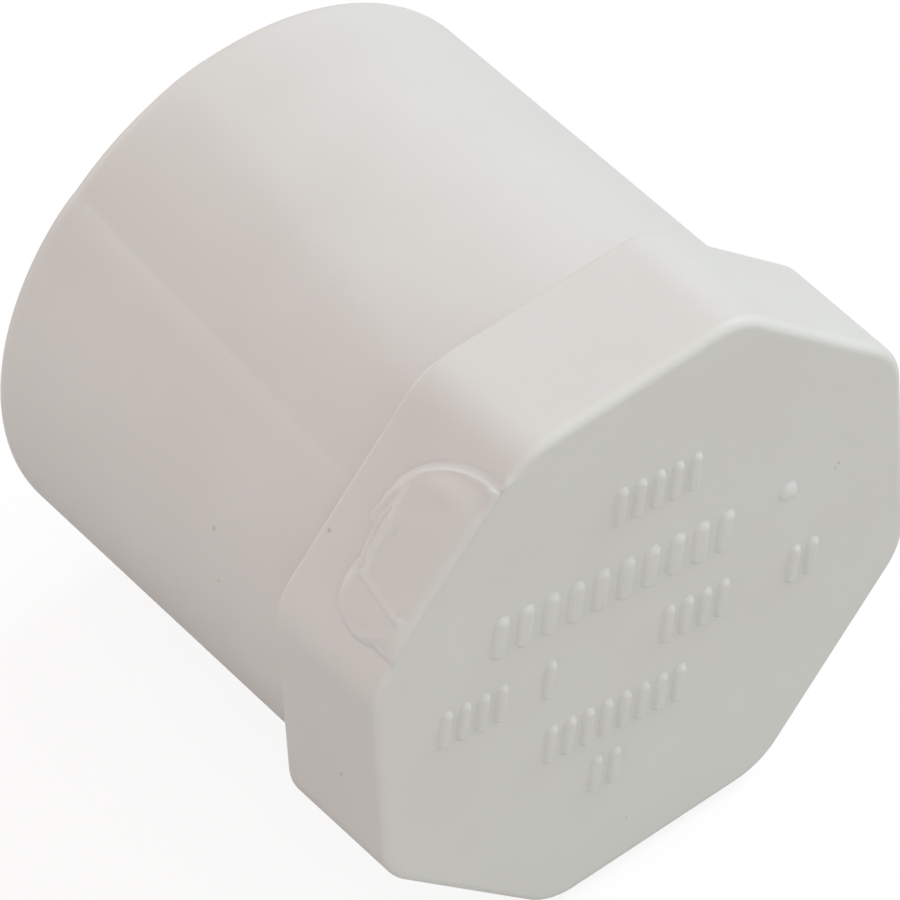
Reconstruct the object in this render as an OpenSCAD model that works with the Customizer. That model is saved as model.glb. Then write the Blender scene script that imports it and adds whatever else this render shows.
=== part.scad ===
// Spigot plug for a 3/4 in solvent-cement pipe socket: a hollow round spigot closed by an eight-sided head.
// It lies on one flat of its head. The origin is on the axis, in the plane of the shoulder where the spigot
// meets the head. The spigot points along +Y, the head's face looks along -Y, and +Z is up.

/* [Spigot] */
// Outside diameter, the same as that of the pipe that the socket takes
spigot_d = 26.67; // [26.2:0.01:27.2]
// Length from the shoulder to the rim
spigot_len = 20.55; // [16:0.05:30]
// Rounding of the rim's outer edge
rim_round = 0.8; // [0.3:0.1:1.5]
// Diameter of the bore at the rim
bore_d = 20.8; // [17:0.1:21.6]
// Narrowing of the bore on each side, in degrees, so that the core pulls out
bore_draft = 0.5; // [0:0.1:1.5]

/* [Shallow flat along the spigot] */
// Depth of the flat below the round
relief_depth = 0.25; // [0.1:0.05:0.6]
// Direction that the flat faces, in degrees round the axis from +X towards +Z
relief_angle = 119; // [0:1:359]

/* [Head] */
// Distance across two opposite flats
head_af = 28.2; // [27.9:0.05:32]
// Thickness from the shoulder to the face
head_t = 6.65; // [5:0.05:10]
// Rounding of the eight corners
corner_round = 3.35; // [1:0.05:5]
// Width of the broken edge round the face
edge_break = 0.4; // [0.1:0.05:0.8]
// Thickness of the wall that closes the bore
end_wall = 4.4; // [3:0.1:4.8]

/* [Gate] */
// Direction of the flat that the gate fed, in degrees round the axis from +X towards +Z
gate_angle = 135; // [45:90:315]
// Radius of the half-round gate that was cut off
gate_r = 4.2; // [2:0.1:4.3]
// Distance from the head's face to the middle of the gate
gate_in = 0.5; // [0:0.1:1]
// Height of the stump above the flat, at the head's face
stump_h = 0.6; // [0.4:0.1:1.4]
// Height of the stump at its far side
stump_far_h = 0.3; // [0.1:0.05:0.4]
// Radius of the smaller lobe beside it
lobe_r = 2; // [1:0.1:2.2]

/* [Raised marks] */
// Height of the marks above the face
mark_h = 0.25; // [0.1:0.05:0.5]
// Turn of the rows, in degrees
mark_turn = -11; // [-45:1:45]
// Width of a bar in the name row
name_bar_w = 0.7; // [0.4:0.05:0.9]
// Length of a bar in the name row
name_bar_len = 2.2; // [1.8:0.1:2.6]
// Width of a bar in the other rows
bar_w = 0.5; // [0.3:0.05:0.7]
// Length of a bar in the other rows
bar_len = 2; // [1.2:0.1:2.4]

/* [Hidden] */
$fn = 96;
eps = 0.01;
pvc_white = [0.93, 0.93, 0.92];
spigot_r = spigot_d / 2;
bore_r = bore_d / 2;
bore_depth = spigot_len + head_t - end_wall;
bore_end_r = bore_r - bore_depth * tan(bore_draft);
apothem = head_af / 2;
corner_centre_r = (apothem - corner_round) / cos(22.5);
flat_end = corner_centre_r * sin(22.5);
stump_len = gate_in + gate_r;
stump_root = edge_break + 0.1;
cut_slope = atan((stump_h - stump_far_h) / stump_len);
// The smaller lobe's middle, as [distance from the face, distance along the flat]
lobe_at = [2.2, 2.5];
bar_pitch = 1;
name_pitch = 1.35;
pip_d = 0.9;
// Height of each row's middle above the middle of the face, along the rows' own up direction
size_row = 7.3;
name_row = 2.9;
grade_row = -1;
approval_row = -4.9;
cavity_row = -8;

// Lays down what is drawn standing, with the shoulder at z = 0 and the head's face upwards.
module lay_down() {
    rotate([90, 0, 0]) children();
}

// The bore, cut out of both the spigot and the head.
module bore() {
    translate([0, 0, -spigot_len - eps])
        cylinder(h = bore_depth + eps, r1 = bore_r + eps * tan(bore_draft), r2 = bore_end_r);
}

// The spigot's outer profile, with its rounded rim at the bottom.
module spigot_profile() {
    translate([0, -spigot_len]) square([spigot_r - rim_round, spigot_len]);
    translate([0, -spigot_len + rim_round]) square([spigot_r, spigot_len - rim_round]);
    translate([spigot_r - rim_round, -spigot_len + rim_round]) circle(rim_round);
}

module spigot() {
    color(pvc_white) lay_down() difference() {
        rotate_extrude() spigot_profile();
        bore();
        rotate(relief_angle)
            translate([spigot_r - relief_depth, -spigot_r, -spigot_len - 1])
                cube([spigot_r, spigot_d, spigot_len + 2]);
    }
}

// Octagon whose flats face 0, 45, 90 ... degrees, with round corners that run tangent into the flats.
module rounded_octagon() {
    polygon([for (i = [0 : 7], side = [-1, 1])
        let (a = 45 * i)
        [apothem * cos(a) - side * flat_end * sin(a), apothem * sin(a) + side * flat_end * cos(a)]]);
    for (i = [0 : 7])
        rotate(22.5 + 45 * i) translate([corner_centre_r, 0]) circle(corner_round);
}

// One of the eight cuts that break the edge between the face and a flat.
module edge_cut() {
    translate([apothem - edge_break, 0, head_t]) rotate([0, 45, 0])
        translate([0, -apothem, 0]) cube([apothem, head_af, apothem]);
}

// The head before it is bored, up to the given height above the shoulder.
module head_solid(top = head_t) {
    difference() {
        linear_extrude(top) rounded_octagon();
        for (i = [0 : 7]) rotate(45 * i) edge_cut();
    }
}

module head() {
    color(pvc_white) lay_down() difference() {
        head_solid();
        bore();
    }
}

// The stump's outline on the flat: half round, with a smaller lobe, and straight where it is flush with the face.
module stump_outline() {
    intersection() {
        union() {
            translate([gate_in, 0]) circle(gate_r);
            translate(lobe_at) circle(lobe_r);
        }
        translate([0, -2 * gate_r]) square(4 * gate_r);
    }
}

// What is left of the gate: it fills the broken edge, stands proud of the flat, and is cut off at a slant.
module gate_vestige() {
    color(pvc_white) lay_down() difference() {
        rotate(gate_angle) translate([apothem, 0, head_t]) rotate([0, 90, 0]) difference() {
            translate([0, 0, -stump_root]) linear_extrude(stump_root + stump_h) stump_outline();
            translate([0, -2 * gate_r, stump_h]) rotate([0, cut_slope, 0]) cube(4 * gate_r);
        }
        head_solid(head_t + 1);
    }
}

// A bar with round ends.
module bar(w, len) {
    square([w, len - w], center = true);
    for (end = [-1, 1]) translate([0, end * (len - w) / 2]) circle(d = w, $fn = 32);
}

// A row of upright bars that starts at [across, up] on the head's face.
module bar_row(across, up, count, w = bar_w, len = bar_len, pitch = bar_pitch) {
    color(pvc_white) lay_down() translate([0, 0, head_t]) rotate(mark_turn)
        for (i = [0 : count - 1])
            translate([across + i * pitch, up, 0]) linear_extrude(mark_h) bar(w, len);
}

module size_mark() {
    bar_row(-2.5, size_row, 5);
}

module name_mark() {
    bar_row(-8.3, name_row, 10, name_bar_w, name_bar_len, name_pitch);
    color(pvc_white) lay_down() rotate(mark_turn)
        translate([7.2, name_row + 0.6, head_t]) cylinder(h = mark_h, d = pip_d, $fn = 32);
}

module grade_mark() {
    bar_row(-10.7, grade_row, 4);
    bar_row(-5.1, grade_row, 1);
    bar_row(1.3, grade_row, 4);
    bar_row(8.2, grade_row, 2);
}

module approval_mark() {
    bar_row(-4.5, approval_row, 8);
}

module cavity_mark() {
    bar_row(-1.6, cavity_row, 2);
}

spigot();
head();
gate_vestige();
size_mark();
name_mark();
grade_mark();
approval_mark();
cavity_mark();
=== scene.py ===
import math

import bpy
import numpy as np
from mathutils import Matrix, Quaternion, Vector


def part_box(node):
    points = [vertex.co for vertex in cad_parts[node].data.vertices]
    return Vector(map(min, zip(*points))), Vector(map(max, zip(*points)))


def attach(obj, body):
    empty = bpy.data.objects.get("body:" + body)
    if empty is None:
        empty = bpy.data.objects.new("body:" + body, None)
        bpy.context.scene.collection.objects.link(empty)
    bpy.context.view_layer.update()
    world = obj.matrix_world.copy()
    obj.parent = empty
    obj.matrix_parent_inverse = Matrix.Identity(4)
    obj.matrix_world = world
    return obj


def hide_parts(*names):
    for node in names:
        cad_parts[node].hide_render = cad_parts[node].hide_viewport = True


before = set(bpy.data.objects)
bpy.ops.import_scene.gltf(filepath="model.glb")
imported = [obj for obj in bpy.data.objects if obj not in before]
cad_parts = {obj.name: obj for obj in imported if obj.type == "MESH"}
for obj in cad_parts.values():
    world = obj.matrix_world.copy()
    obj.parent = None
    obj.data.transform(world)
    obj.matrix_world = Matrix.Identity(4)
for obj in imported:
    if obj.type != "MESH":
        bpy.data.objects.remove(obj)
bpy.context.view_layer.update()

# Everything below is in millimetres until make_piece() turns it into metres.
MM = 0.001
SPIGOT_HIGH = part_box("spigot")[1] / MM
HEAD_LOW, HEAD_HIGH = (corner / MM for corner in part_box("head"))

# Spigot
WALL_R = SPIGOT_HIGH.x             # outer radius at the shoulder
WALL_LEN = SPIGOT_HIGH.y           # from the shoulder to the rim
WALL_TAPER = 0.15                  # how much smaller the radius is at the rim
RIM_ROUND = 0.8                    # outer edge of the rim
RIM_FLAT_IN = 0.25                 # from the rim's rounding to the first ring of its flat end
LIP_ROUND = 0.25                   # inner edge of the rim
FOOT_FILLET = 0.3                  # where the wall meets the shoulder
BORE_R = 10.4                      # at the rim
BORE_DRAFT = math.tan(math.radians(0.5))    # how much the bore narrows per mm of depth

# Shallow moulded relief along the spigot. Angles are in degrees round the axis, from +X towards +Z.
RELIEF_SOFT = (116.3, 100.5)       # its soft side, at the shoulder and at the rim
RELIEF_CREASE = (135.0, 129.0)     # its crisp side, at the shoulder and at the rim
RELIEF_DEPTH = (0.2, 0.3)          # at the crisp side, at the shoulder and near the rim
RELIEF_SAG = (0.06, 0.0)           # how much deeper it is in the middle
RELIEF_END = 0.4                   # share of that depth left at the rim's edge
RELIEF_FADE = 0.12                 # share of the wall's length in which it falls to that
RELIEF_START = 0.02                # how softly the soft side starts
RELIEF_EDGE = 3.5                  # degrees in which the step at the crisp side falls to a third
BULGE = 0.05                       # how far the wall stands out beside the soft side
BULGE_WIDTH = 6.0                  # degrees

# Head
APOTHEM = HEAD_HIGH.x
HEAD_T = -HEAD_LOW.y
CORNER_ROUND = 3.35
FACE_ROUND = 0.45                  # edge between the face and the flats
GATE_EDGE = 0.015                  # the same edge beside the gate, where it is filled
FILLED_HALF = 4.1                  # half the length of the filled stretch
FILLED_RUNOUT = 0.9                # in which it turns into the round edge
BACK_ROUND = 0.28                  # edge between the flats and the shoulder
FACE_SINK = 0.03                   # how far the middle of the face has sunk
BORE_END = 2.25                    # depth of the bore below the shoulder
BORE_END_ROUND = 0.8
SUPPORT = 0.04                     # from a rounded edge to the ring that keeps the flat beside it flat

# Gate stub. u runs along the flat, v from the edge of the face towards the shoulder.
GATE_ANGLE = 135
GATE_AT = (0.1, 0.5)               # middle of the half-round gate, as (u, v)
GATE_R = 4.2
GATE_TORN = 0.35                   # how far its far edge is torn short, to the right of the middle
GATE_ROOT = 0.8                    # how deep its root goes into the head
STUB_H = 0.48                      # height above the flat, near the face
STUB_RIDGE_H = 0.6                 # height just before the torn far edge
STUB_FAR_H = 0.28                  # height at its far side
STUB_FRONT_ROUND = 1.0             # rounding of its front, along the flat
STUB_BEVEL = (0.15, 0.06)          # fall of its rounded outer edge, on the left and on the right
BEVEL_START = 0.965                # where that edge begins, as a share of the way out
FRONT_LAP = 0.001                  # how far its front covers the edge of the face
LOBE_AT = (2.5, 2.2)               # middle of the smaller lobe, as (u, v)
LOBE_R = 1.95
STUB_MIDDLE = (0.2, 1.9)           # point inside both, from which the outline is seen

# Marks: rows of plain bars
MARK_H = 0.25
MARK_TURN = -11                    # degrees
BAR = (0.5, 2.0, 1.0)              # width, length and pitch of the bars
NAME_BAR = (0.7, 2.2, 1.35)        # the same in the name's row
PIP_D = 0.9

# Dark specks moulded into the plastic: (x, y, z) and radius
SPECKS = (((-11.3, -0.5, 8.6), 0.15), ((10.3, -6.6, 1.6), 0.12), ((10.5, -6.6, 1.8), 0.12),
          ((-12.6, 5.9, 4.3), 0.14), ((-13.1, 5.1, 2.1), 0.1), ((-14.1, -3.9, -1.5), 0.14),
          ((-1.6, -6.6, -11.6), 0.12))
SPECK_STRENGTH = 0.5
SPECK_COLOUR = (0.25, 0.22, 0.2, 1)
PLASTIC_DARK = (0.845, 0.832, 0.812, 1)
PLASTIC_PALE = (0.865, 0.858, 0.842, 1)

# Light: the sky's colour in the middle, and how it changes towards +X and +Y. Lamps are in metres.
SKY = (0.575, 0.515, 0.491)
SKY_SLOPES = ((-0.15, -0.15, -0.15), (-0.22, -0.305, -0.285))
LAMP_FROM = 0.6
LAMP_SIZE = 0.3
FLOOR_HALF = 3.0                   # metres
FLOOR_PAPER = (0.6, 0.6, 0.6, 1)   # what lights the object from below
FLOOR_SHADE = (0.2, 0.2, 0.2, 1)   # what takes the shadow that the camera sees
FLOOR_GLOW = 0.85                  # what keeps the floor pale beside it
BACKDROP = 0.97

# Camera: where it stands, seen from the point that it looks at
VIEW_AIM = (-0.18, 6.02, -0.09)
VIEW_LEFT = 36.34                  # degrees, from straight in front of the face towards -X
VIEW_UP = 47.83                    # degrees above the horizontal
VIEW_ROLL = -3.81                  # degrees
VIEW_FROM = 459.0
LENS = 437.6                       # on a sensor 36 mm wide


def polar(angle_deg, radius, y):
    """Points at these angles round the axis."""
    a = np.radians(angle_deg)
    return np.stack([radius * np.cos(a), y + 0 * a, radius * np.sin(a)], -1)


def arc(count, start=0.0, end=90.0):
    """(cos, sin) pairs from start to end degrees."""
    return [(math.cos(math.radians(t)), math.sin(math.radians(t))) for t in np.linspace(start, end, count)]


def ease(t):
    """From 0 to 1 with a soft start and end."""
    t = np.clip(t, 0, 1)
    return t * t * (3 - 2 * t)


def between(ends, along):
    """The value between two ends: along is 0 at the first and 1 at the second."""
    return ends[0] + (ends[1] - ends[0]) * along


def loft(rings, closed=False, caps=(None, None)):
    """Vertices and faces of rings of points joined in order. A cap is the point that closes an end."""
    count = len(rings[0])
    verts = np.concatenate(rings)
    last = len(rings) if closed else len(rings) - 1
    faces = []
    for i in range(last):
        a, b = i * count, (i + 1) % len(rings) * count
        for j in range(count):
            k = (j + 1) % count
            faces.append((a + j, a + k, b + k, b + j))
    for ring, cap in zip((0, len(rings) - 1), caps):
        if cap is not None:
            verts = np.concatenate([verts, [cap]])
            top = len(verts) - 1
            base = ring * count
            for j in range(count):
                k = (j + 1) % count
                faces.append((base + k, base + j, top) if ring == 0 else (base + j, base + k, top))
    return verts, faces


def make_piece(name, shells, material):
    """One mesh object from (vertices, faces) shells in millimetres, in place of the CAD node of its name."""
    verts, faces = [], []
    for shell_verts, shell_faces in shells:
        shift = len(verts)
        verts.extend(map(tuple, np.asarray(shell_verts) * MM))
        faces.extend(tuple(i + shift for i in face) for face in shell_faces)
    mesh = bpy.data.meshes.new(name)
    mesh.from_pydata(verts, [], faces)
    mesh.validate()
    face_outwards(mesh)
    mesh.polygons.foreach_set("use_smooth", [True] * len(mesh.polygons))
    mesh.materials.append(material)
    piece = bpy.data.objects.new(name, mesh)
    bpy.context.scene.collection.objects.link(piece)
    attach(piece, "root")
    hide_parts(name)
    return piece


def face_outwards(mesh):
    """Turns the faces of a closed mesh outwards, by the sign of its volume."""
    mesh.calc_loop_triangles()
    volume = 0.0
    for tri in mesh.loop_triangles:
        a, b, c = (mesh.vertices[i].co for i in tri.vertices)
        volume += a.dot(b.cross(c))
    if volume < 0:
        mesh.flip_normals()


# ---------------------------------------------------------------- spigot

def wall_angles(along):
    """Angles round the wall, closer together at the relief, with one on its crease.

    along is 0 at the shoulder and 1 at the rim.
    """
    soft, crease = between(RELIEF_SOFT, along), between(RELIEF_CREASE, along)
    # (angle, how many points from there to the next stop)
    stops = [(soft - 14, 26), (soft + 8, 22), (crease, 14), (crease + 5, 14), (crease + 18, 145),
             (soft + 346, 0)]
    parts = [np.linspace(a, b, n, endpoint=False) for (a, n), (b, _) in zip(stops, stops[1:])]
    return np.concatenate(parts)


def relief_depth(angles, along):
    """How far the wall lies below its round, at each angle."""
    soft, crease = between(RELIEF_SOFT, along), between(RELIEF_CREASE, along)
    fade = ease((along - (1 - RELIEF_FADE)) / RELIEF_FADE)
    depth = between(RELIEF_DEPTH, along) * between((1, RELIEF_END), fade)
    sag = between(RELIEF_SAG, along)
    t = (angles - soft) / (crease - soft)
    t = np.minimum(0.5 * (t + np.sqrt(t ** 2 + RELIEF_START)), 1)
    inside = (depth * t + sag * 4 * t * (1 - t)) * (angles <= crease)
    step = depth * np.exp(-(angles - crease) / RELIEF_EDGE) * (angles > crease)
    return inside + step - BULGE * np.exp(-((angles - soft + 1) / BULGE_WIDTH) ** 2)


def spigot_shell():
    def wall(y, grow=0.0):
        along = min(max(y / WALL_LEN, 0), 1)
        angles = wall_angles(along)
        radius = WALL_R - WALL_TAPER * along - relief_depth(angles, along)
        return polar(angles, radius + grow, y)

    rings = []
    for c, s in arc(7, 90, 0):                                       # fillet, from the shoulder up
        rings.append(wall(FOOT_FILLET * (1 - s), FOOT_FILLET * (1 - c)))
    straight = WALL_LEN - RIM_ROUND
    for y in np.concatenate([[FOOT_FILLET + 0.1], np.linspace(1, straight - 0.6, 22), [straight - 0.1]]):
        rings.append(wall(y))
    for c, s in arc(11):                                             # rounded rim
        rings.append(wall(straight + RIM_ROUND * s, -RIM_ROUND * (1 - c)))
    angles = wall_angles(1)
    flat_end = BORE_R + LIP_ROUND
    rings.append(polar(angles, WALL_R - WALL_TAPER - RIM_ROUND - RIM_FLAT_IN, WALL_LEN))
    rings.append(polar(angles, flat_end + 0.1, WALL_LEN))
    for c, s in arc(6, 90, 0):                                       # inner edge of the rim
        rings.append(polar(angles, flat_end - LIP_ROUND * c, WALL_LEN - LIP_ROUND * (1 - s)))
    for y in np.linspace(WALL_LEN - LIP_ROUND - 0.2, 0, 12):
        rings.append(polar(wall_angles(min(y / WALL_LEN, 1)), bore_radius(y), y))
    return loft(rings, closed=True)


def bore_radius(y):
    """Radius of the drafted bore at this distance from the shoulder."""
    return BORE_R - (WALL_LEN - y) * BORE_DRAFT


# ---------------------------------------------------------------- head

def octagon():
    """Outline of the head: points and their outward directions, from the corner after the flat at 0 degrees.

    Also says how far each point is from the middle of the gate's flat, along the outline.
    """
    centre_r = (APOTHEM - CORNER_ROUND) / math.cos(math.radians(22.5))
    half = centre_r * math.sin(math.radians(22.5))
    points, normals, lengths = [], [], []
    at = half
    for i in range(8):
        corner = math.radians(22.5 + 45 * i)
        centre = centre_r * np.array([math.cos(corner), math.sin(corner)])
        for turn in np.linspace(0, 45, 16, endpoint=False):
            a = math.radians(45 * i + turn)
            normal = np.array([math.cos(a), math.sin(a)])
            points.append(centre + CORNER_ROUND * normal)
            normals.append(normal)
            lengths.append(at + CORNER_ROUND * math.radians(turn))
        at += CORNER_ROUND * math.radians(45)
        a = math.radians(45 * (i + 1))
        normal = np.array([math.cos(a), math.sin(a)])
        side = np.array([-math.sin(a), math.cos(a)])
        for slide in np.linspace(-half, half, 16, endpoint=False):
            points.append(APOTHEM * normal + slide * side)
            normals.append(normal)
            lengths.append(at + half + slide)
        at += 2 * half
    gate = GATE_ANGLE / 45 * (at - half) / 8
    return np.array(points), np.array(normals), np.abs(np.array(lengths) - gate)


def head_shell():
    outline, normals, from_gate = octagon()
    face_round = between((GATE_EDGE, FACE_ROUND), ease((from_gate - FILLED_HALF) / FILLED_RUNOUT))[:, None]

    def ring(inset, y, scale=1.0):
        flat = (outline - normals * inset) * scale
        y = np.broadcast_to(y, (len(flat), 1))[:, 0]
        return np.stack([flat[:, 0], y, flat[:, 1]], -1)

    rings = []
    for scale in np.linspace(0.08, 0.98, 14):                        # face, sunk a little in the middle
        rings.append(ring(face_round, -HEAD_T + FACE_SINK * (1 - scale ** 2) ** 2, scale))
    rings.append(ring(face_round + SUPPORT, -HEAD_T))
    for c, s in arc(9, 90, 0):
        rings.append(ring(face_round * (1 - c), -HEAD_T + face_round * (1 - s)))
    for y in (-HEAD_T + face_round + SUPPORT, -HEAD_T + FACE_ROUND + 3 * SUPPORT, -HEAD_T / 2,
              -BACK_ROUND - SUPPORT):
        rings.append(ring(0, y))
    for c, s in arc(6):
        rings.append(ring(BACK_ROUND * (1 - c), -BACK_ROUND * (1 - s)))
    rings.append(ring(BACK_ROUND + SUPPORT, 0))
    angles = np.degrees(np.arctan2(outline[:, 1], outline[:, 0]))
    rings.append(polar(angles, WALL_R - 0.3, 0))
    rings.append(polar(angles, bore_radius(0), 0))
    end_r = bore_radius(-BORE_END)
    rings.append(polar(angles, end_r, -BORE_END + BORE_END_ROUND + 0.1))
    for c, s in arc(8):                                              # fillet at the bore's end
        rings.append(polar(angles, end_r - BORE_END_ROUND * (1 - c), -BORE_END + BORE_END_ROUND * (1 - s)))
    for share in (0.95, 0.6, 0.25):
        rings.append(polar(angles, (end_r - BORE_END_ROUND) * share, -BORE_END))
    return loft(rings, caps=((0, -HEAD_T + FACE_SINK, 0), (0, -BORE_END, 0)))


# ---------------------------------------------------------------- gate stub

def stub_outline(count):
    """Outline on the flat as (u, v) points, with the point in its middle from which they are seen."""
    middle = np.array(STUB_MIDDLE)
    points = []
    for t in np.linspace(0, 2 * math.pi, count, endpoint=False):
        ray = np.array([math.cos(t), math.sin(t)])
        gate_r = GATE_R - GATE_TORN * ease((ray[0] + 0.02) / 0.12) * ease((ray[1] - 0.3) / 0.3)
        reach = 0.0
        for centre, radius in ((GATE_AT, gate_r), (LOBE_AT, LOBE_R)):
            to = np.array(centre) - middle
            along = to @ ray
            inside = radius ** 2 - (to @ to - along ** 2)
            if inside > 0:
                reach = max(reach, along + math.sqrt(inside))
        if ray[1] < 0:
            reach = min(reach, -(middle[1] + FRONT_LAP) / ray[1])
        points.append(middle + reach * ray)
    return middle, np.array(points)


def ridge(u, v, path, width, height):
    """A thin raised line along a path of (u, v) points."""
    best = np.full(np.shape(u), 1e9)
    for (u0, v0), (u1, v1) in zip(path, path[1:]):
        du, dv = u1 - u0, v1 - v0
        t = np.clip(((u - u0) * du + (v - v0) * dv) / (du * du + dv * dv), 0, 1)
        best = np.minimum(best, np.hypot(u - u0 - t * du, v - v0 - t * dv))
    return height * np.exp(-(best / width) ** 2)


def blob(u, v, centre, size, height):
    """A smooth round rise."""
    return height * np.exp(-((u - centre[0]) / size[0]) ** 2 - ((v - centre[1]) / size[1]) ** 2)


def stub_height(u, v):
    """Height of the stub above the flat."""
    h = between((STUB_H, STUB_RIDGE_H), ease(v / 3.6))
    h -= (STUB_RIDGE_H - STUB_FAR_H) * ease((v - 3.5) / 0.7)
    h -= 0.3 * ease((-2.2 - u) / 1.7) + 0.09 * ease((u - 2.8) / 1.1) + 0.24 * ease((u - 3.5) / 0.9)
    # A smooth swelling on the left, a pit beside it, an uneven torn field, and two small pits
    h += blob(u, v, (-2.9, 2.0), (0.8, 1.3), 0.08) - blob(u, v, (-2.0, 2.0), (0.45, 0.7), 0.12)
    h += 0.014 * np.sin(2.1 * u + 1.7 * v) * np.sin(3.3 * v - 1.1 * u)
    h -= blob(u, v, (0.05, 3.05), (0.24, 0.1), 0.06) + blob(u, v, (4.12, 0.72), (0.1, 0.1), 0.08)
    # The lobe has a raised border
    from_lobe = np.hypot(u - LOBE_AT[0], v - LOBE_AT[1])
    h += 0.07 * np.exp(-((from_lobe - LOBE_R + 0.22) / 0.16) ** 2) * ease((u - 2.4) / 0.6)
    # Lip on the left, double ridge at the torn far edge, and the ridge between the two lobes
    h += np.maximum.reduce([
        ridge(u, v, ((-3.98, 0.9), (-3.8, 1.95), (-3.4, 2.7), (-2.8, 3.38), (-1.3, 4.25), (0.0, 4.6)),
              0.15, 0.05),
        ridge(u, v, ((-0.7, 3.95), (-0.1, 4.1), (0.9, 3.95), (1.9, 3.62)), 0.09, 0.13),
        ridge(u, v, ((-0.4, 3.5), (0.5, 3.53), (1.3, 3.42), (2.1, 3.2)), 0.16, 0.13),
        ridge(u, v, ((2.15, 3.2), (2.45, 1.85), (2.7, 0.7)), 0.16, 0.17)])
    # Their thickened ends
    h += blob(u, v, (-3.9, 0.3), (0.2, 0.22), 0.2) + blob(u, v, (2.7, 0.6), (0.16, 0.25), 0.12)
    h += blob(u, v, (2.1, 3.2), (0.22, 0.24), 0.07)
    # The front is rounded over, down to the edge of the face
    near = np.clip(v / STUB_FRONT_ROUND, 0, 1)
    return h * np.sqrt(1 - (1 - near) ** 2)


def stub_shell():
    middle, outline = stub_outline(320)
    away = outline - middle
    away /= np.linalg.norm(away, axis=1)[:, None]
    front = outline[:, 1] < 0.01

    def ring(scale, height=None, out=0.0, behind=-FRONT_LAP):
        """The outline, scaled about its middle and grown outwards, but not further forward than behind."""
        at = middle + (outline - middle) * scale
        h = stub_height(at[:, 0], at[:, 1]) if height is None else height
        at = at + away * np.where(front, 0, out)[:, None]
        at[:, 1] = np.maximum(at[:, 1], behind)
        return place_on_flat(at[:, 0], at[:, 1], h)

    def height_at(scale):
        """Height just inside the scaled outline."""
        return stub_height(*(middle + (outline - middle) * (scale - 0.002)).T)

    scales = np.concatenate([np.linspace(0.02, 0.7, 36), np.linspace(0.715, BEVEL_START, 28)])
    rings = [ring(scale) for scale in scales]
    fall_to = between(STUB_BEVEL, ease((outline[:, 0] - 0.6) / 1.5))
    fall_to = np.where(front, 0, np.minimum(fall_to, 0.7 * height_at(BEVEL_START)))
    for share in np.linspace(0.12, 1, 7):
        scale = BEVEL_START + (1 - BEVEL_START) * share
        low = height_at(scale) - fall_to * (1 - math.sqrt(1 - (0.95 * share) ** 2))
        rings.append(ring(scale, low))
    foot = between((2.4, 1), ease((outline[:, 0] + 2) / 2))          # wider on the left
    rings.append(ring(1, low * 0.55, 0.035 * foot))
    rings.append(ring(1, low * 0.2, 0.09 * foot))
    rings.append(ring(1, np.full(len(low), -0.01), 0.16 * foot, 0.01))
    rings.append(ring(1, np.full(len(low), -0.1), 0.18 * foot, 0.03))
    rings.append(ring(1, np.full(len(low), -GATE_ROOT), 0.1, 0.05))
    caps = (place_on_flat(*middle, stub_height(*middle)), place_on_flat(*middle, -GATE_ROOT))
    return loft(rings, caps=caps)


def place_on_flat(u, v, h):
    """Points of the frame for places (u, v) on the gate's flat, at height h above it."""
    a = math.radians(GATE_ANGLE)
    out = APOTHEM + h
    x, z = out * math.cos(a) - u * math.sin(a), out * math.sin(a) + u * math.cos(a)
    return np.stack([x, -HEAD_T + v + 0 * u, z], -1)


# ---------------------------------------------------------------- marks

def bar_shell(across, up, width, length):
    """One bar with round ends and a round back, its foot flaring into the face."""
    end = (length - width) / 2
    profile = [(0.09, -0.06), (0.07, -0.01), (0.03, 0.02)]
    profile += [(-width / 2 * (1 - c), MARK_H * s) for c, s in arc(9, 12, 78)]
    turn = math.radians(MARK_TURN)
    rings = []
    for grow, height in profile:
        r = width / 2 + grow
        half = [(r * math.cos(t), r * math.sin(t)) for t in np.linspace(0, math.pi, 13)]
        ring = [(x, z + end) for x, z in half] + [(-x, -z - end) for x, z in half]
        points = []
        for x, z in ring:
            x, z = x + across, z + up
            points.append((x * math.cos(turn) - z * math.sin(turn), -HEAD_T - height,
                           x * math.sin(turn) + z * math.cos(turn)))
        rings.append(np.array(points))
    caps = (rings[0].mean(0), rings[-1].mean(0))
    return loft(rings, caps=caps)


def bar_row(across, up, count, bar=BAR):
    """Upright bars in a row that starts at this place on the face."""
    width, length, pitch = bar
    return [bar_shell(across + i * pitch, up, width, length) for i in range(count)]


# ---------------------------------------------------------------- materials

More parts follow.
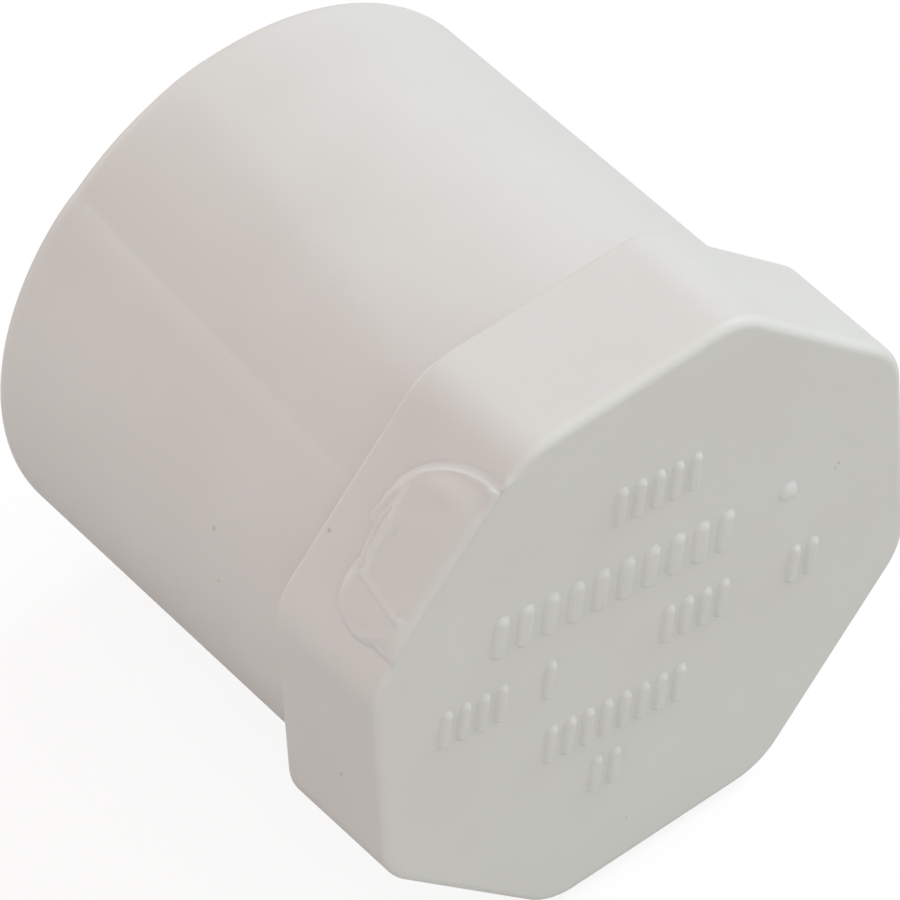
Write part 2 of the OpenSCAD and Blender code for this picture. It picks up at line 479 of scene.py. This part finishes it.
def plastic(name):
    """White moulded PVC: satin, faintly uneven in tone, with a fine skin and a few dark specks."""
    material = bpy.data.materials.new(name)
    material.use_nodes = True
    tree = material.node_tree
    nodes, links = tree.nodes, tree.links
    nodes.clear()

    def node(kind, **values):
        made = nodes.new(kind)
        for key, value in values.items():
            if key in made.inputs:
                made.inputs[key].default_value = value
            else:
                setattr(made, key, value)
        return made

    def ramp(span, values):
        """A node that turns a value within a span into one between two others."""
        return node("ShaderNodeMapRange", **{
            "From Min": span[0], "From Max": span[1], "To Min": values[0], "To Max": values[1]})

    out = node("ShaderNodeOutputMaterial")
    shader = node("ShaderNodeBsdfPrincipled", **{
        "IOR": 1.5, "Subsurface Weight": 0.15, "Subsurface Radius": (0.0006, 0.0005, 0.0004),
        "Subsurface Scale": 1.0})
    links.new(shader.outputs["BSDF"], out.inputs["Surface"])
    place = node("ShaderNodeTexCoord")

    clouds = node("ShaderNodeTexNoise", Scale=160.0, Detail=3.0, Roughness=0.5)
    links.new(place.outputs["Object"], clouds.inputs["Vector"])
    tone = node("ShaderNodeValToRGB")
    tone.color_ramp.elements[0].position, tone.color_ramp.elements[1].position = 0.3, 0.7
    tone.color_ramp.elements[0].color = PLASTIC_DARK
    tone.color_ramp.elements[1].color = PLASTIC_PALE
    links.new(clouds.outputs["Fac"], tone.inputs["Fac"])

    # Fine specks, in a fifth of the cells of a Voronoi pattern
    cells = node("ShaderNodeTexVoronoi", Scale=210.0)
    links.new(place.outputs["Object"], cells.inputs["Vector"])
    near = ramp((0.012, 0.024), (1.0, 0.0))
    links.new(cells.outputs["Distance"], near.inputs["Value"])
    pick = node("ShaderNodeMath", operation="GREATER_THAN")
    pick.inputs[1].default_value = 0.8
    split = node("ShaderNodeSeparateColor")
    links.new(cells.outputs["Color"], split.inputs["Color"])
    links.new(split.outputs["Red"], pick.inputs[0])
    speck = node("ShaderNodeMath", operation="MULTIPLY")
    links.new(near.outputs["Result"], speck.inputs[0])
    links.new(pick.outputs["Value"], speck.inputs[1])
    # The larger specks, each at its own place
    dark = speck
    for place_mm, radius in SPECKS:
        apart = node("ShaderNodeVectorMath", operation="DISTANCE")
        apart.inputs[1].default_value = [c * MM for c in place_mm]
        links.new(place.outputs["Object"], apart.inputs[0])
        spot = ramp((0, radius * MM), (SPECK_STRENGTH, 0.0))
        links.new(apart.outputs["Value"], spot.inputs["Value"])
        either = node("ShaderNodeMath", operation="MAXIMUM")
        links.new(dark.outputs[0], either.inputs[0])
        links.new(spot.outputs["Result"], either.inputs[1])
        dark = either
    mix = node("ShaderNodeMix", data_type="RGBA")
    mix.inputs[7].default_value = SPECK_COLOUR
    links.new(dark.outputs[0], mix.inputs["Factor"])
    links.new(tone.outputs["Color"], mix.inputs[6])
    links.new(mix.outputs[2], shader.inputs["Base Color"])

    rough = ramp((0, 1), (0.42, 0.56))
    links.new(clouds.outputs["Fac"], rough.inputs["Value"])
    links.new(rough.outputs["Result"], shader.inputs["Roughness"])

    skin = node("ShaderNodeTexNoise", Scale=2200.0, Detail=2.0, Roughness=0.6)
    links.new(place.outputs["Object"], skin.inputs["Vector"])
    bump = node("ShaderNodeBump", Strength=0.12, Distance=0.00002)
    links.new(skin.outputs["Fac"], bump.inputs["Height"])
    links.new(bump.outputs["Normal"], shader.inputs["Normal"])
    return material


# ---------------------------------------------------------------- build

white = plastic("white_pvc")
make_piece("spigot", [spigot_shell()], white)
make_piece("head", [head_shell()], white)
make_piece("gate_vestige", [stub_shell()], white)
make_piece("size_mark", bar_row(-2.5, 7.3, 5), white)
make_piece("name_mark", bar_row(-8.3, 2.9, 10, NAME_BAR) + [bar_shell(7.2, 3.5, PIP_D, PIP_D)],
           white)
grades = ((-10.7, 4), (-5.1, 1), (1.3, 4), (8.2, 2))                 # start and number of bars in each group
make_piece("grade_mark", [bar for start, count in grades for bar in bar_row(start, -1, count)],
           white)
make_piece("approval_mark", bar_row(-4.5, -4.9, 8), white)
make_piece("cavity_mark", bar_row(-1.6, -8, 2), white)


# ---------------------------------------------------------------- floor, light and camera

def camera_only(tree, seen, lights_with):
    """Mixes two shaders: what the camera sees, and what lights the object."""
    path = tree.nodes.new("ShaderNodeLightPath")
    mix = tree.nodes.new("ShaderNodeMixShader")
    tree.links.new(path.outputs["Is Camera Ray"], mix.inputs[0])
    tree.links.new(lights_with.outputs[0], mix.inputs[1])
    tree.links.new(seen.outputs[0], mix.inputs[2])
    return mix


def make_floor():
    """A pale floor that touches the head's flat and the rim, as the part lies by itself."""
    drop = APOTHEM - (WALL_R - WALL_TAPER - RIM_ROUND)
    reach = WALL_LEN - RIM_ROUND
    tilt = math.atan2(drop, reach) - math.asin(RIM_ROUND / math.hypot(drop, reach))
    mesh = bpy.data.meshes.new("floor")
    corners = [(x * FLOOR_HALF, y * FLOOR_HALF, 0) for x, y in ((-1, -1), (1, -1), (1, 1), (-1, 1))]
    mesh.from_pydata(corners, [], [(0, 1, 2, 3)])
    floor = bpy.data.objects.new("floor", mesh)
    floor.location = (0, 0, -APOTHEM * MM)
    floor.rotation_euler = (tilt, 0, 0)
    bpy.context.scene.collection.objects.link(floor)
    material = bpy.data.materials.new("pale_floor")
    material.use_nodes = True
    tree = material.node_tree
    tree.nodes.clear()
    paper = tree.nodes.new("ShaderNodeBsdfDiffuse")
    paper.inputs["Color"].default_value = FLOOR_PAPER
    shade = tree.nodes.new("ShaderNodeBsdfDiffuse")
    shade.inputs["Color"].default_value = FLOOR_SHADE
    glow = tree.nodes.new("ShaderNodeEmission")
    glow.inputs["Color"].default_value = (1, 1, 1, 1)
    glow.inputs["Strength"].default_value = FLOOR_GLOW
    both = tree.nodes.new("ShaderNodeAddShader")
    tree.links.new(shade.outputs[0], both.inputs[0])
    tree.links.new(glow.outputs[0], both.inputs[1])
    out = tree.nodes.new("ShaderNodeOutputMaterial")
    tree.links.new(camera_only(tree, both, paper).outputs[0], out.inputs["Surface"])
    mesh.materials.append(material)


def make_world():
    """A soft sky that lights the object, and a plain pale backdrop that the camera sees."""
    world = bpy.data.worlds.new("studio")
    bpy.context.scene.world = world
    world.use_nodes = True
    tree = world.node_tree
    tree.nodes.clear()
    soft = tree.nodes.new("ShaderNodeBackground")
    place = tree.nodes.new("ShaderNodeTexCoord")
    axes = tree.nodes.new("ShaderNodeSeparateXYZ")
    tree.links.new(place.outputs["Generated"], axes.inputs[0])
    total = None
    for axis, colour in enumerate(SKY_SLOPES):                       # colour that changes evenly across the sky
        part = tree.nodes.new("ShaderNodeVectorMath")
        part.operation = "SCALE"
        part.inputs[0].default_value = colour
        tree.links.new(axes.outputs[axis], part.inputs["Scale"])
        add = tree.nodes.new("ShaderNodeVectorMath")
        add.operation = "ADD"
        tree.links.new(part.outputs[0], add.inputs[0])
        if total is None:
            add.inputs[1].default_value = SKY
        else:
            tree.links.new(total.outputs[0], add.inputs[1])
        total = add
    tree.links.new(total.outputs[0], soft.inputs["Color"])
    plain = tree.nodes.new("ShaderNodeBackground")
    plain.inputs["Color"].default_value = (1, 1, 1, 1)
    plain.inputs["Strength"].default_value = BACKDROP
    out = tree.nodes.new("ShaderNodeOutputWorld")
    tree.links.new(camera_only(tree, plain, soft).outputs[0], out.inputs["Surface"])


def make_light(name, direction, power, colour):
    """An area light that faces the object from this direction, with its power in watts."""
    data = bpy.data.lights.new(name, "AREA")
    data.shape = "DISK"
    data.size = LAMP_SIZE
    data.energy = power
    data.color = colour
    light = bpy.data.objects.new(name, data)
    towards = Vector(direction).normalized()
    light.location = towards * LAMP_FROM
    light.rotation_mode = "QUATERNION"
    light.rotation_quaternion = (-towards).to_track_quat("-Z", "Y")
    bpy.context.scene.collection.objects.link(light)


def make_camera():
    """At the viewing angle of the picture: from the front left and above, with a long lens."""
    left, up = math.radians(VIEW_LEFT), math.radians(VIEW_UP)
    back = Vector((-math.sin(left) * math.cos(up), -math.cos(left) * math.cos(up), math.sin(up)))
    turn = back.to_track_quat("Z", "Y") @ Quaternion((0, 0, 1), math.radians(VIEW_ROLL))
    data = bpy.data.cameras.new("camera")
    data.sensor_width = 36
    data.lens = LENS
    data.clip_start, data.clip_end = 0.01, 20
    camera = bpy.data.objects.new("camera", data)
    stand = (Vector(VIEW_AIM) + back * VIEW_FROM) * MM
    camera.matrix_world = Matrix.Translation(stand) @ turn.to_matrix().to_4x4()
    bpy.context.scene.collection.objects.link(camera)
    bpy.context.scene.camera = camera


make_floor()
make_world()
make_light("key", (0.79, 0, 0.61), 1.6, (0.83, 1.0, 1.04))
make_light("back", (-0.15, 1, 0.15), 0.9, (0.9, 1, 0.96))
make_camera()
bpy.context.scene.view_settings.view_transform = "Standard"
